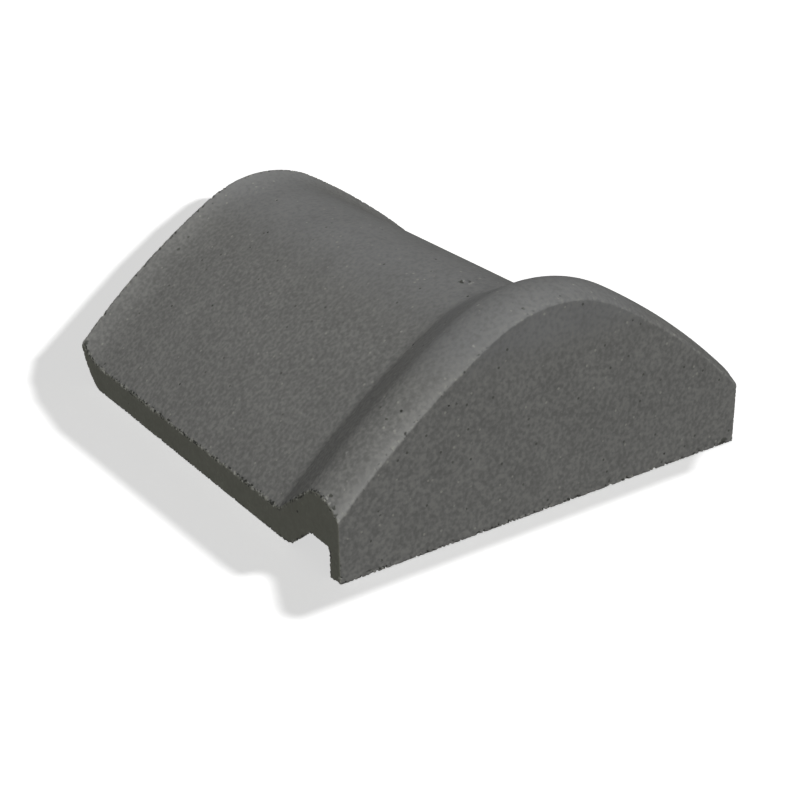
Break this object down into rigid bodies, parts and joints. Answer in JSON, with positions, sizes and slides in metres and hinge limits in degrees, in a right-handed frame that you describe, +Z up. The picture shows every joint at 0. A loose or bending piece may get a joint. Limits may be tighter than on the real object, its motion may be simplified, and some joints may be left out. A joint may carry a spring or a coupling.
{
  "type": "block-end ridge tile",
  "caption": "Arched concrete roof ridge tile with a raised roll and a flat plate closing one end, and a flared lap lip at the other.",
  "frame": {"origin": "on the ground, under the middle of the tile's box", "axes": "+Z up, +Y along the ridge from the closed end towards the lip, +X across the tile"},
  "size_m": [0.3, 0.3364, 0.1388],
  "materials": {
    "concrete": "matt through-coloured anthracite concrete, fine sandy grain"
  },
  "bodies": {
    "root": {"ridge_tile": "concrete"}
  },
  "joints": []
}
